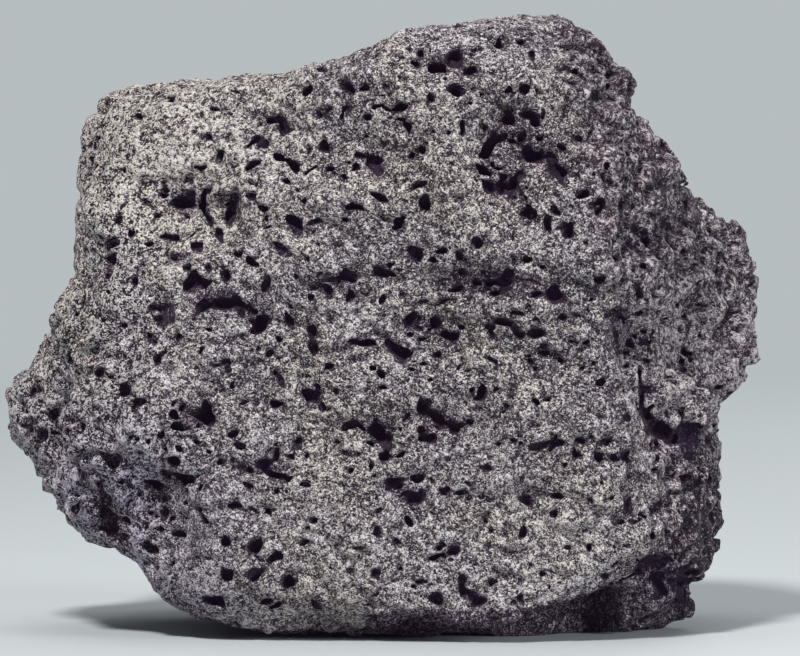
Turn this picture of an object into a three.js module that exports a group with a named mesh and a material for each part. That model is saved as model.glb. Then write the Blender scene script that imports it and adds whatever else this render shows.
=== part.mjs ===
// A fist-and-a-half of vesicular basalt from the Moon: one blocky broken stone, in millimetres, +Z up.
// The broad broken face looks towards -Y, a second one turns away towards +X, and the stone stands on
// the flat worn patches of its underside. The origin is under the middle of the stone, on the ground.
import * as THREE from "three";
import { ImprovedNoise } from "three/addons/math/ImprovedNoise.js";
import { mergeVertices } from "three/addons/utils/BufferGeometryUtils.js";

// ---- driving dimensions ----
const centre = new THREE.Vector3(0, 0, 60); // every part of the surface can be seen from here
const facetDetail = 17; // each side of the starting icosahedron is cut into this many steps and one more
const reach = 130; // farther from the centre than any point of the stone
const edgeRounding = 7; // how softly two broken faces meet
const rimRounding = 3.5; // how softly the faces meet the outline
const halfDepth = 45; // from the middle to the broad front face, and to the back
const widest = { top: -20, side: 4 }; // how far back the outline is widest, over the top and at the sides
const narrowing = { front: 0.1, back: 0.2 }; // how much it draws in for each millimetre from there
// The evened outline: its corners, how widely it is evened in radians, how far off it holds fully, and
// how much of what the wall draws in may be filled again, so that the front view keeps its outline.
const broad = { corners: 20, spread: 0.42, reached: 34, regained: 0.8 };

// The outline seen from the front, as x and z, clockwise from the notch in the left shoulder.
const outline = [
  [-67.8, 79], [-68.3, 84], [-67.8, 92], [-66.6, 100], [-64.5, 111], [-62, 116], [-59, 118], [-51, 118.8],
  [-36.5, 120.4], [-24, 121.8], [-10, 125.5], [3, 130.2], [12, 132.8], [21.5, 134.3], [27.5, 134.1],
  [32, 135.8], [36.5, 134.6], [40, 135.4], [43, 134], [46, 129.8], [50, 125.2], [54, 121.5], [55.2, 114.5],
  [56.8, 111.2], [62, 107], [65, 100.2], [66.5, 97], [69, 95.8], [73.5, 90.8], [78, 88.2], [80.4, 84.8],
  [81.9, 79.6], [80.7, 76], [81, 66.5], [82.5, 62.3], [82.5, 59], [81, 56], [76, 51], [73.6, 49],
  [72.5, 45.5], [73.6, 39], [72.2, 31.5], [73.8, 24.5], [72.6, 19.5], [70.3, 11.8], [67.6, 10], [67.3, 6.5],
  [65.4, 3.3], [61, 0], [50, -4], [0, -6], [-29, -3], [-33.5, 1.8], [-45, 6.3], [-48.3, 9.4], [-53.6, 15.5],
  [-59.5, 18.4], [-63.5, 19.2], [-67, 21.7], [-72.6, 27.6], [-75.6, 35.6], [-80.6, 41.2], [-82.2, 45.5],
  [-82.2, 52], [-80.8, 58.6], [-78.6, 61], [-75.2, 62.8], [-74.2, 67], [-71.2, 74.6],
];

// The broken faces: which way each one looks (turned from the front towards +X, then raised), in
// degrees, and how far it lies from the middle of the stone.
const faces = [
  { name: "front", turn: -3, raise: 1, distance: halfDepth },
  { name: "front upper left", turn: -17, raise: 14, distance: halfDepth + 7 },
  { name: "front foot", turn: -4, raise: -52, distance: halfDepth + 24 },
  { name: "front brow", turn: 8, raise: 40, distance: halfDepth + 29 },
  { name: "right", turn: 56, raise: 6, distance: 67 },
  { name: "right foot", turn: 60, raise: -45, distance: 83 },
  { name: "right back", turn: 122, raise: 8, distance: 79 },
  { name: "right shoulder", turn: 66, raise: 34, distance: 86 },
  { name: "back", turn: 176, raise: 7, distance: halfDepth - 1 },
  { name: "back upper", turn: 190, raise: 48, distance: 72 },
  { name: "back foot", turn: 172, raise: -34, distance: 62 },
  { name: "back left", turn: 226, raise: -6, distance: 74 },
  { name: "back left shoulder", turn: 236, raise: 30, distance: 80 },
  { name: "left", turn: -57, raise: -4, distance: 71 },
  { name: "left shoulder", turn: -66, raise: 18, distance: 77 },
  { name: "left cheek", turn: -38, raise: -26, distance: 71 },
  { name: "left foot", turn: -70, raise: -48, distance: 84 },
  { name: "crown", turn: 150, raise: 79, distance: 79 },
];

// Swells and hollows: wavelength and height of each layer of roughness over the broken faces.
const swells = [
  { wavelength: 46, height: 3.4, shift: 11.3 },
  { wavelength: 21, height: 1.7, shift: 47.9 },
  { wavelength: 11, height: 0.8, shift: 83.1 },
];

// The underside: mostly flat where it has worn, and hollow in between.
const underside = { level: 0.1, wavelength: 30, height: 5, shift: 5.7 };

// Hollows broken out of the block: middle, half sizes and how softly they run into the faces.
const hollows = [
  { at: [-50, -46, 21], size: [10, 13, 17], soft: 7 }, // the valley beside the left lobe
  { at: [-72, -30, 80], size: [11, 12, 9], soft: 5 }, // under the left shoulder
  { at: [31, -50, 106], size: [14, 8, 17], soft: 6 }, // the sunken patch below the brow
  { at: [84, -14, 41], size: [13, 16, 11], soft: 8 }, // the notch in the right side
  { at: [30, 52, 84], size: [26, 11, 19], soft: 8 }, // on the back
  { at: [-26, 53, 46], size: [25, 12, 17], soft: 10 }, // on the back, lower down
  { at: [57, -44, 0], size: [19, 20, 11.5], soft: 3 }, // under the ledge, where the right foot is set back
  { at: [70, -27, 1], size: [12, 15, 11], soft: 3 }, // the same ledge, round the corner
  { at: [14, -46, -2], size: [25, 11, 6], soft: 3 }, // under the lip of the broad face
];

// ---- shape functions: each is negative inside the stone, in millimetres ----
const roughness = new ImprovedNoise();

function swell(point, layer) {
  const [x, y, z] = [point.x, point.y, point.z].map((v) => v / layer.wavelength + layer.shift);
  return layer.height * roughness.noise(x, y, z);
}

// The larger of two distances, with the crease between them rounded over a width.
function roundedMax(a, b, width) {
  const blend = Math.max(width - Math.abs(a - b), 0) / width;
  return Math.max(a, b) + (blend * blend * width) / 4;
}

const turnBetween = (from, to) => (to - from + 4 * Math.PI) % (2 * Math.PI);

// How far a closed row of corners lies from the centre in one direction, from the two corners beside it.
function radiusOf(corners, angle) {
  const next = Math.max(corners.findIndex((corner) => corner.angle > angle), 0);
  const before = corners[(next + corners.length - 1) % corners.length];
  const after = corners[next];
  const along = turnBetween(before.angle, angle) / turnBetween(before.angle, after.angle);
  return THREE.MathUtils.lerp(before.radius, after.radius, along);
}

const sharpOutline = outline
  .map(([x, z]) => ({ angle: Math.atan2(z - centre.z, x), radius: Math.hypot(x, z - centre.z) }))
  .sort((a, b) => a.angle - b.angle);

// The same outline with its notches and corners evened out, for the back and the front of the stone.
const broadOutline = Array.from({ length: broad.corners }, (_, i) => {
  const angle = -Math.PI + ((i + 0.5) / broad.corners) * 2 * Math.PI;
  const around = [-1, -0.5, 0, 0.5, 1].map((step) => {
    const turned = angle + step * broad.spread;
    return radiusOf(sharpOutline, Math.atan2(Math.sin(turned), Math.cos(turned)));
  });
  return { angle, radius: around.reduce((a, b) => a + b) / around.length };
});

function faceNormal({ turn, raise }) {
  const [t, r] = [turn, raise].map(THREE.MathUtils.degToRad);
  return new THREE.Vector3(Math.cos(r) * Math.sin(t), -Math.cos(r) * Math.cos(t), Math.sin(r));
}

const facePlanes = faces.map((face) => ({ normal: faceNormal(face), distance: face.distance }));

const allSwells = (point) => swells.reduce((sum, layer) => sum + swell(point, layer), 0);

function brokenFaces(point) {
  const fromCentre = point.clone().sub(centre);
  const distances = facePlanes.map((plane) => plane.normal.dot(fromCentre) - plane.distance);
  return distances.reduce((a, b) => roundedMax(a, b, edgeRounding)) + allSwells(point);
}

// The wall that runs through the outline. Away from where it is widest it draws in, loses the
// outline's notches and takes on the swells.
function outlineWall(point) {
  const fromCentre = Math.max(Math.hypot(point.x, point.z - centre.z), 1e-6);
  const angle = Math.atan2(point.z - centre.z, point.x);
  const away = point.y - THREE.MathUtils.lerp(widest.top, widest.side, Math.abs(point.x) / fromCentre);
  const drawnIn = away < 0 ? -away * narrowing.front : away * narrowing.back;
  const evened = THREE.MathUtils.smoothstep(Math.abs(away), 0, broad.reached);
  const sharp = radiusOf(sharpOutline, angle);
  const blended = THREE.MathUtils.lerp(sharp, radiusOf(broadOutline, angle), evened);
  const radius = Math.min(blended, sharp + broad.regained * drawnIn);
  return fromCentre - radius + drawnIn + evened * allSwells(point);
}

function hollow(point, { at, size }) {
  const [x, y, z] = [point.x, point.y, point.z].map((v, i) => (v - at[i]) / size[i]);
  return (Math.hypot(x, y, z) - 1) * Math.min(...size);
}

function stone(point) {
  let shape = roundedMax(brokenFaces(point), outlineWall(point), rimRounding);
  for (const part of hollows) shape = roundedMax(shape, -hollow(point, part), part.soft);
  const belowFoot = underside.level - point.z + swell(point, underside);
  shape = roundedMax(shape, belowFoot, rimRounding);
  return Math.max(shape, -point.z);
}

// ---- the solid ----
// Where a ray from the centre leaves the stone, found by halving.
function surfacePoint(direction) {
  let inside = 0;
  let outside = reach;
  for (let i = 0; i < 40; i++) {
    const middle = (inside + outside) / 2;
    if (stone(direction.clone().multiplyScalar(middle).add(centre)) < 0) inside = middle;
    else outside = middle;
  }
  const found = direction.clone().multiplyScalar(inside).add(centre);
  if (found.z < 1e-4) found.z = 0;
  return found;
}

function stoneGeometry() {
  let geometry = new THREE.IcosahedronGeometry(1, facetDetail);
  geometry.deleteAttribute("normal");
  geometry.deleteAttribute("uv");
  geometry = mergeVertices(geometry, 1e-5);
  const position = geometry.getAttribute("position");
  for (let i = 0; i < position.count; i++) {
    const direction = new THREE.Vector3().fromBufferAttribute(position, i).normalize();
    position.setXYZ(i, ...surfacePoint(direction).toArray());
  }
  geometry.computeBoundingBox();
  const middle = geometry.boundingBox.getCenter(new THREE.Vector3());
  geometry.translate(-middle.x, -middle.y, 0);
  geometry.computeVertexNormals();
  return geometry;
}

const basalt = new THREE.MeshStandardMaterial({ color: 0x77716f, roughness: 0.92, metalness: 0 });
const rock = new THREE.Mesh(stoneGeometry(), basalt);
rock.name = "moon_rock";

const moonRock = new THREE.Group();
moonRock.add(rock);

export default moonRock;
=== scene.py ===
import math

import bmesh
import bpy
import numpy as np
import openvdb as vdb
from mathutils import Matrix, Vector
from mathutils.bvhtree import BVHTree


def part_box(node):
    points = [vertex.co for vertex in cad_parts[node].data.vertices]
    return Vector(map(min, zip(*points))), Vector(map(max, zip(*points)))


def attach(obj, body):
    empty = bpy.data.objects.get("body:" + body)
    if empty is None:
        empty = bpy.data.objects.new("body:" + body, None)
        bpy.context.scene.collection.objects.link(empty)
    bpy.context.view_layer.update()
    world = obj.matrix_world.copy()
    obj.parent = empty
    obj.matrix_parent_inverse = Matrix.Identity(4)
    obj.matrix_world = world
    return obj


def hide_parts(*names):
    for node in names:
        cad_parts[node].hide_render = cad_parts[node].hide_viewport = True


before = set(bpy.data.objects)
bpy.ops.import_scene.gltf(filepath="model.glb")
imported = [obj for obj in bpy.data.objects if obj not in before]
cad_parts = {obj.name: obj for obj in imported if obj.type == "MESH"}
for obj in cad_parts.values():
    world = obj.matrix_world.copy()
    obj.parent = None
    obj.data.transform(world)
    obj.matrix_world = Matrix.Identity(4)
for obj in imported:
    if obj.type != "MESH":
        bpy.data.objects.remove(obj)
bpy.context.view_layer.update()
millimetre = 0.001
random = np.random.default_rng(1971)
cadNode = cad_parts["moon_rock"]
lowCorner, highCorner = (np.array(corner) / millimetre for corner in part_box("moon_rock"))

# The camera comes first, because the gas holes are placed as they are seen from the front.
view = {
    "distance": 1500, "raise": 2.2,          # mm from the stone, degrees above level
    "aim": (3.5, -8, 66.2),                  # mm, the point that the camera looks at
    "across": 175.4,                         # mm of the aim's plane from side to side
}


def makeCamera():
    lift = math.radians(view["raise"])
    away = Vector((0, -math.cos(lift), math.sin(lift))) * view["distance"]
    data = bpy.data.cameras.new("camera")
    camera = bpy.data.objects.new("camera", data)
    bpy.context.collection.objects.link(camera)
    camera.location = (Vector(view["aim"]) + away) * millimetre
    camera.rotation_euler = (math.radians(90) - lift, 0, 0)
    data.sensor_width = 36
    data.lens = 36 * view["distance"] / view["across"]
    data.clip_end = 20
    bpy.context.scene.camera = camera
    return Vector(view["aim"]) + away


seenFrom = makeCamera()

# What the stone is carved with; the shapes pressed and cut into it follow in lists of their own.
stone = {
    "voxel": 0.46,    # mm, the finest thing the carving can hold
    "band": 9,                               # mm of volume kept on both sides of the surface
    "faces": 197000,
    "frontSpared": 0.005,                    # how strongly the thinning spares the front
    "dents": 160,                            # tries for dents away from the front,
    "dentSizes": (4, 11), "dentHeight": 1.4,     # mm, how far each reaches and how deep it is
    "softRim": 0.3,                          # mm, how far the rim of a hole is worn
    "warps": ((0.36, 1.7), (0.5, 4.5)),      # mm that a hole's wall is bent, and over how many mm
    "search": (-16, 18, 0.25),               # mm along the line of sight, to find the broken face
    "crowding": 0.32,                        # small holes to a square mm of a dent's middle
    "smallHoles": 6500,                      # gas holes strewn over the whole stone
    "smallest": 0.85, "largest": 7.0,        # mm across
    "largestFront": 1.8, "largestRight": 2.6,    # mm, where the larger ones are listed
    "keptRight": 0.85,                       # the share that is cut on the right face
    "fewLarge": 2.3,                         # how steeply the number falls with size
    "stretch": (1, 1.9),                     # how long a hole is for its height
}

# Roughness of the broken faces: wavelength along x, y and z and height, all in mm.
roughness = [
    ((26, 26, 17), 0.8),
    ((11, 11, 6.5), 0.6),
    ((4.8, 4.8, 3.2), 0.64),
    ((2.4, 2.4, 1.9), 0.44),
    ((1.25, 1.25, 1.25), 0.18),
]

# Broad hollows (minus) and swellings of the front: x, z, half width, half height, turn, height in mm.
swellings = [
    (-43, 94, 8, 3.5, 0, -1.2), (-52, 106, 10, 7, 0, 1.0), (-47, 95.6, 4, 2, -15, -1.0),
    (-35, 72, 10, 2.8, -14, -1.8), (-50, 66, 10, 4, 0, -0.8), (-2, 103, 5, 4, 0, -1.2),
    (27, 110, 6, 8, 0, -1.6), (26, 98, 6, 4, 0, -1.2), (37, 103, 5, 4, -40, -1.6),
    (14, 124, 6, 3.5, 0, -1.3), (24, 76, 13, 3.0, -3, -2.5), (11, 66, 7, 4, -20, -1.5),
    (-1, 44, 4, 5, 0, -1.8), (12, 46, 6, 4, -20, -1.8), (-43, 47, 6, 3.5, 0, -1.2),
    (-72, 42, 6, 5, 0, -1.4), (-48, 32, 5, 8, 0, -1.9), (-60, 23.5, 3.0, 8, 20, -4.0),
    (-67.5, 25, 4, 6, 0, 1.2), (-28, 35, 9, 4, 0, -1.0), (5, 30, 5, 4, 0, -1.0),
    (63, 42, 7, 4, -30, -1.8), (54, 66, 5, 8, 0, -1.0), (-16, 51, 4, 3, -40, -1.0),
    (-10, 76, 10, 3, 0, -0.9), (40, 58, 8, 3, 0, -0.8), (15, 16, 8, 2.4, 0, -0.9),
    (36, 42.5, 9, 2.2, 4, 1.0), (30, 20, 14, 7, 0, 0.8), (-30, 58, 14, 4, 0, 0.8),
    (-10, 22, 12, 7, 0, 0.6), (48, 27, 9, 8, 0, 0.7), (14, 99, 5, 6, 0, 1.0),
    (30, 86, 12, 4, 0, 0.9), (-50, 77, 7, 3, 20, 1.0), (59, 15, 8, 3.0, 12, -2.5),
    (65.5, 36.5, 5, 3.5, 0, -1.5), (54, 62, 3, 6, 0, -1.0), (65.5, 5, 4, 4, 0, 1.8),
    (69, 20, 3, 6, 0, 0.8), (54.5, 85.5, 3, 4, 0, -1.4), (56.5, 79.5, 2.5, 3, 0, -1.0),
    (65.4, 69.3, 3, 2.5, 0, -1.2), (52.5, 68, 3.5, 2.5, 0, -1.4), (57, 64.5, 3, 2, 0, -1.3),
    (65.3, 59, 3, 3.5, 0, -1.8), (58.5, 52, 2.5, 2.5, 0, -1.2), (79.5, 80, 2, 3, 0, -1.2),
    (72, 77, 3, 4, 0, 0.9), (61, 72, 3, 3, 0, 0.8), (70, 63, 3.5, 3, 0, 0.8),
    (60, 57, 2.5, 3, 0, 0.8), (49, 84, 3, 5, 0, 0.7), (59, 96, 4, 3, 0, 0.7),
    (66, 86, 3, 3, 0, 0.7),
]

# The same for the outline: these run through the stone from front to back.
outline = [
    (-12, 126, 13, 7, 0, -2.0), (24, 134, 15, 7, 0, 1.7), (53.5, 121.5, 5, 5.5, 0, 2.4),
    (46, 128, 7, 5, 0, 1.2), (81, 73, 7, 13, 0, 2.3), (81, 81, 5, 4, 0, 0.8),
    (79, 87, 4, 4, 0, 1.1), (81, 62.5, 5, 3.5, 0, 0.8), (72.5, 42, 4, 7, 0, 1.1),
    (70, 12, 4, 3, 0, 1.8), (75.5, 26, 4, 6, 0, -2.0), (-79.5, 59.5, 4, 3.5, 0, -3.4),
    (-81, 46, 6, 6, 0, 2.3), (-64, 17, 9, 5, -20, -2.0), (-57, 15, 5, 4, -30, -3.4),
    (-73, 26.5, 4, 3.5, -30, -1.5), (73.5, 93.5, 3.5, 3, 0, -1.8), (-68, 22, 4, 4, -30, -1.0),
    (-67, 91, 6, 18, 0, 1.4), (-66, 112, 5, 5, 0, 0.7), (-4, 129, 5, 4, 0, -1.3),
    (-22, 121.5, 7, 4, 0, -0.8),
]

# The gas holes that stand out on the front: x, z, width and height in mm, and for some the turn in
# degrees and the depth.
upperLeft = [
    (-60.0, 115.7, 1.9, 1.4), (-52.3, 113.0, 2.7, 1.4), (-46.6, 116.8, 1.6, 1.6),
    (-55.6, 110.3, 1.1, 1.0), (-16.6, 117.9, 2.3, 2.1), (-7.6, 118.5, 3.2, 2.3, -20),
    (-9.0, 119.3, 1.6, 1.1), (-3.5, 119.3, 1.2, 1.5), (-9.2, 120.9, 1.1, 1.1),
    (-21.9, 111.0, 2.2, 4.2, 10), (-24.5, 112.0, 3.2, 1.2, -5), (-14.4, 112.2, 1.8, 1.8),
    (-9.0, 111.9, 1.4, 0.9), (-3.0, 111.9, 1.6, 1.4), (-29.4, 107.3, 3.0, 2.2, 15),
    (-27.5, 106.0, 2.4, 2.2), (-39.0, 107.3, 2.6, 1.4), (-41.1, 108.9, 1.2, 1.0),
    (-22.6, 103.3, 4.2, 1.5, -24), (-19.4, 101.9, 3.6, 1.9, -18), (-29.1, 101.3, 2.7, 1.6),
    (-13.3, 106.2, 1.7, 1.6), (-3.3, 107.7, 1.5, 0.9), (-5.7, 103.6, 3.4, 1.0),
    (-1.6, 102.4, 3.2, 3.0), (-6.5, 101.3, 1.6, 1.8), (-11.4, 101.1, 1.1, 1.0),
    (-40.7, 100.4, 1.4, 1.9), (-35.7, 103.3, 1.3, 2.2), (-42.0, 100.8, 1.6, 0.9),
    (-44.1, 93.3, 4.6, 2.2, 6, 3.2), (-47.6, 95.4, 1.8, 1.1, -20), (-32.9, 93.6, 2.9, 4.6, -5, 6.0),
    (-33.2, 90.6, 2.8, 4.6, -20, 6.5), (-39.4, 95.5, 1.0, 2.6, 0, 4.0),
    (-39.8, 92.8, 1.2, 3.6, 0, 5.0), (-39.0, 90.0, 1.4, 3.8, 20, 6.0), (-36.5, 86.6, 2.4, 1.7, -50),
    (-29.4, 94.2, 2.6, 1.1, -10), (-26.7, 92.6, 2.3, 2.0), (-26.0, 90.4, 1.2, 1.2),
    (-19.0, 89.6, 3.6, 3.4), (-16.6, 94.6, 1.9, 1.1), (-14.2, 89.6, 2.8, 1.1),
    (-6.8, 92.3, 3.8, 1.6), (-7.6, 89.6, 2.2, 0.8), (-1.1, 95.6, 2.6, 2.4), (-8.7, 98.6, 1.9, 1.3),
    (-21.5, 98.3, 1.7, 1.3), (-59.7, 85.7, 2.2, 2.6), (-55.8, 87.1, 1.1, 2.6, 12),
    (-58.0, 89.0, 1.1, 1.1), (-58.6, 91.2, 1.5, 1.4), (-59.1, 81.7, 1.2, 2.1),
    (-60.2, 77.6, 2.2, 2.6), (-64.0, 77.9, 1.4, 1.1), (-53.4, 76.8, 2.4, 1.8),
    (-46.6, 85.0, 3.2, 1.3, -15), (-41.4, 82.9, 2.3, 2.0), (-28.9, 81.1, 2.9, 1.2, -55),
    (-21.5, 82.7, 2.6, 1.7, -20), (-51.5, 84.4, 2.4, 1.0), (-52.0, 80.3, 1.8, 0.8),
    (-41.4, 76.3, 5.4, 3.5, 28), (-35.1, 78.2, 1.8, 2.6), (-25.8, 75.0, 1.5, 3.4),
    (-10.3, 76.9, 5.6, 1.3), (-8.4, 76.8, 2.0, 2.2), (-12.8, 74.1, 2.0, 2.5),
    (-15.8, 72.7, 1.8, 2.0), (-0.4, 78.4, 2.8, 2.6), (-21.0, 68.1, 3.2, 1.5, -65),
    (-39.2, 71.0, 3.2, 2.4), (-35.7, 71.4, 3.2, 2.0), (-32.1, 71.3, 3.8, 2.4),
    (-33.0, 69.4, 2.0, 2.0), (-29.4, 70.8, 2.6, 1.2), (-28.1, 67.5, 3.4, 4.6),
    (-48.8, 70.1, 3.6, 1.8, -8), (-47.8, 68.3, 2.2, 2.6), (-63.2, 69.4, 1.4, 1.4),
    (-60.0, 74.0, 1.0, 1.1), (-15.0, 62.9, 2.2, 2.8), (-15.5, 65.6, 2.0, 1.8),
    (-5.6, 62.9, 4.0, 1.4, -12), (-2.6, 62.0, 4.2, 1.5, -16), (-23.4, 63.4, 1.4, 1.3),
    (-73.8, 64.8, 1.3, 1.8), (-7.6, 72.7, 2.2, 1.3), (-67.0, 69.4, 1.8, 1.4),
    (-33.0, 118.2, 1.4, 0.6), (-62.9, 101.8, 0.9, 2.6), (-26.1, 87.7, 2.5, 0.8),
    (-49.6, 60.7, 2.6, 1.8),
]
upperRight = [
    (7.1, 124.6, 1.6, 0.9), (11.7, 123.5, 4.2, 2.0), (15.0, 126.0, 3.4, 2.0),
    (19.1, 123.7, 2.8, 2.2), (15.6, 118.2, 3.4, 2.6), (18.6, 115.5, 1.3, 1.6),
    (10.3, 116.3, 1.2, 1.5), (3.0, 113.8, 2.8, 1.7), (5.4, 109.5, 2.7, 1.5), (3.8, 110.8, 2.4, 0.9),
    (16.7, 109.6, 1.5, 1.6), (30.8, 118.2, 2.8, 2.0), (32.5, 125.8, 1.4, 1.5),
    (29.7, 129.4, 1.6, 1.4), (25.4, 128.3, 1.0, 2.2), (42.8, 127.7, 2.2, 1.8),
    (39.2, 123.4, 2.0, 2.8), (42.0, 122.3, 1.0, 1.9), (26.7, 111.7, 2.7, 1.9),
    (30.5, 113.0, 3.0, 2.0), (32.4, 111.2, 1.8, 2.3), (34.6, 112.7, 1.1, 1.6),
    (22.9, 106.8, 4.6, 2.8, 25), (25.3, 107.8, 1.8, 2.8), (21.0, 104.9, 2.8, 1.2),
    (30.0, 107.8, 2.2, 2.8), (33.0, 104.0, 4.4, 2.8, -10), (38.7, 100.5, 5.6, 2.6, -55),
    (8.9, 104.2, 2.0, 0.9), (21.5, 101.0, 4.0, 1.9, -28), (22.6, 97.0, 2.8, 2.8),
    (26.2, 96.8, 2.6, 2.4), (28.9, 97.6, 2.2, 2.6), (8.2, 97.0, 2.6, 1.5), (9.5, 92.8, 2.6, 3.2),
    (4.1, 89.6, 2.4, 2.0), (32.2, 91.9, 3.2, 2.2), (30.2, 91.0, 1.8, 1.0, 20),
    (36.2, 89.1, 2.2, 1.3, -40), (37.9, 92.2, 1.5, 1.7), (40.6, 88.0, 1.6, 2.6, -12),
    (43.6, 95.9, 3.0, 1.8), (47.7, 92.9, 1.5, 3.2), (35.7, 96.4, 1.0, 1.0), (38.4, 96.1, 1.0, 1.0),
    (7.1, 83.9, 3.2, 1.8, -60), (12.5, 82.5, 2.0, 1.6), (15.5, 82.0, 1.3, 1.3),
    (10.6, 80.9, 1.1, 1.4), (19.5, 84.4, 2.4, 2.4), (28.6, 86.0, 1.0, 1.2), (31.3, 80.7, 2.4, 1.3),
    (2.5, 80.6, 1.2, 1.2), (2.0, 78.1, 2.8, 2.0, -15), (19.6, 76.5, 2.6, 1.3),
    (23.4, 77.3, 3.2, 1.5), (27.2, 77.9, 2.4, 1.3), (14.2, 74.9, 2.2, 1.6), (24.5, 74.3, 2.6, 1.1),
    (37.3, 73.5, 3.4, 2.5), (32.7, 73.8, 2.4, 1.3), (37.9, 78.7, 1.8, 1.2), (9.8, 72.4, 1.6, 1.0),
    (12.8, 71.9, 3.4, 0.9), (6.0, 68.3, 3.0, 3.0), (10.9, 67.2, 1.9, 2.4), (0.3, 72.1, 1.2, 2.0),
    (27.0, 66.3, 4.0, 1.9, -6), (30.2, 65.3, 2.4, 1.7, -15), (34.1, 65.6, 3.2, 1.9),
    (39.2, 68.4, 2.2, 1.4), (29.7, 69.4, 2.6, 1.3), (33.2, 69.4, 1.6, 1.0), (13.4, 64.8, 3.4, 1.4),
    (24.0, 64.8, 1.6, 1.2), (4.0, 61.2, 4.2, 2.4, -10), (11.9, 61.5, 1.5, 1.7),
    (8.1, 63.2, 1.6, 1.0), (43.6, 62.6, 1.4, 0.8), (49.3, 101.6, 1.4, 1.4), (53.1, 104.8, 1.0, 1.0),
    (55.3, 101.3, 1.0, 1.4), (58.3, 105.4, 1.4, 1.0), (54.5, 87.1, 1.3, 1.8),
    (56.9, 85.0, 1.7, 2.8, 10), (56.7, 74.3, 2.4, 1.2, -50), (61.6, 89.9, 1.8, 0.7),
    (75.5, 69.7, 1.9, 1.4), (65.7, 68.9, 1.4, 0.8), (56.9, 64.5, 3.0, 1.5), (52.3, 68.1, 2.6, 2.0),
    (66.2, 60.7, 3.2, 1.4), (48.5, 76.8, 2.4, 1.0), (23.7, 131.5, 1.2, 1.0), (69.2, 64.0, 1.5, 1.0),
    (77.4, 73.2, 1.0, 1.0),
]
lowerLeft = [
    (-76.8, 51.9, 1.6, 2.0), (-78.5, 47.7, 1.7, 1.6), (-79.0, 45.4, 3.0, 0.9),
    (-73.0, 46.8, 2.3, 2.1), (-67.3, 44.8, 3.0, 2.5, -20), (-75.2, 41.4, 2.3, 2.0),
    (-67.0, 56.4, 2.3, 1.2), (-62.1, 56.1, 2.6, 1.9), (-67.0, 48.6, 2.2, 0.9),
    (-67.0, 52.2, 1.4, 1.1), (-55.6, 51.9, 3.0, 1.8, -25), (-53.7, 49.2, 2.1, 2.0),
    (-55.5, 56.8, 1.0, 1.0), (-56.4, 60.1, 1.0, 1.2), (-49.3, 59.6, 1.8, 2.2),
    (-40.0, 60.5, 1.2, 1.2), (-34.6, 57.6, 1.6, 1.8), (-36.3, 57.7, 2.2, 0.8),
    (-25.3, 59.8, 2.4, 1.5), (-12.0, 58.2, 2.6, 1.4), (-2.4, 57.6, 1.4, 1.2),
    (-0.8, 56.5, 1.6, 1.3), (-0.8, 53.9, 1.8, 1.4), (-45.5, 47.6, 2.2, 2.4),
    (-43.9, 49.2, 1.2, 1.6), (-38.6, 47.8, 3.4, 4.0), (-36.6, 46.8, 2.2, 1.8, -20),
    (-44.4, 44.1, 3.3, 1.5), (-40.9, 41.8, 1.2, 1.4), (-32.7, 43.7, 1.9, 1.2),
    (-31.9, 40.5, 2.2, 1.6, -50), (-23.4, 49.5, 2.4, 1.0), (-17.4, 51.9, 3.4, 2.7),
    (-14.6, 48.9, 3.4, 1.4, -58), (-18.8, 41.9, 1.4, 1.2), (-24.0, 55.2, 1.1, 1.7),
    (-6.8, 44.8, 3.4, 1.1), (-0.6, 43.8, 3.0, 3.6), (1.0, 42.2, 1.8, 1.8), (-9.8, 41.8, 0.9, 1.2),
    (-2.4, 36.8, 1.6, 1.6), (-8.4, 34.5, 1.2, 1.4), (-22.9, 38.5, 1.6, 1.6),
    (-26.1, 36.7, 2.8, 1.8), (-23.6, 34.3, 4.6, 1.1, -4), (-21.2, 33.3, 1.7, 1.4),
    (-19.6, 37.7, 1.0, 0.9), (-16.6, 38.3, 1.0, 0.9), (-14.7, 38.0, 0.9, 1.1),
    (-56.7, 32.6, 1.8, 1.5), (-59.9, 37.5, 3.2, 2.0, -40), (-50.1, 31.5, 3.2, 1.9),
    (-44.1, 33.1, 4.6, 2.4, -25), (-46.6, 37.7, 2.8, 1.8), (-52.6, 29.3, 1.1, 1.6),
    (-38.7, 24.1, 2.8, 1.4, -60), (-44.4, 21.4, 2.8, 1.4), (-62.3, 31.5, 2.2, 2.6),
    (-61.8, 29.6, 2.6, 4.0, 10, 2.2), (-59.3, 22.5, 3.6, 4.8, 20, 2.6),
    (-57.4, 19.6, 3.2, 2.4, 0, 2.4), (-61.2, 26.2, 2.2, 3.2, 12), (-59.0, 22.0, 3.4, 2.4, -50),
    (-56.6, 24.5, 1.8, 1.6), (-52.3, 18.7, 3.6, 2.0, -40), (-35.7, 18.4, 2.4, 2.4),
    (-28.1, 18.1, 3.5, 3.2), (-22.3, 15.7, 2.8, 2.0), (-17.1, 18.4, 1.6, 1.1),
    (-19.8, 10.0, 2.8, 2.5), (-27.5, 11.3, 3.2, 2.4), (-34.9, 12.1, 2.8, 2.4),
    (-37.3, 5.9, 4.6, 2.0, -12), (-23.7, 5.0, 2.6, 2.2), (-25.9, 6.7, 2.2, 1.6),
    (-14.2, 5.8, 2.2, 1.3), (-3.8, 4.8, 1.4, 1.0), (-25.9, 27.4, 1.4, 1.7), (-15.8, 24.8, 1.4, 1.2),
    (-1.6, 25.6, 2.0, 1.2), (-2.4, 20.9, 1.6, 1.8), (-32.4, 27.1, 2.6, 1.6), (-1.1, 12.4, 2.6, 1.8),
    (-40.3, 26.6, 2.0, 2.0), (-47.4, 24.4, 2.2, 2.2), (-54.5, 41.6, 1.4, 1.4),
]
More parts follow.
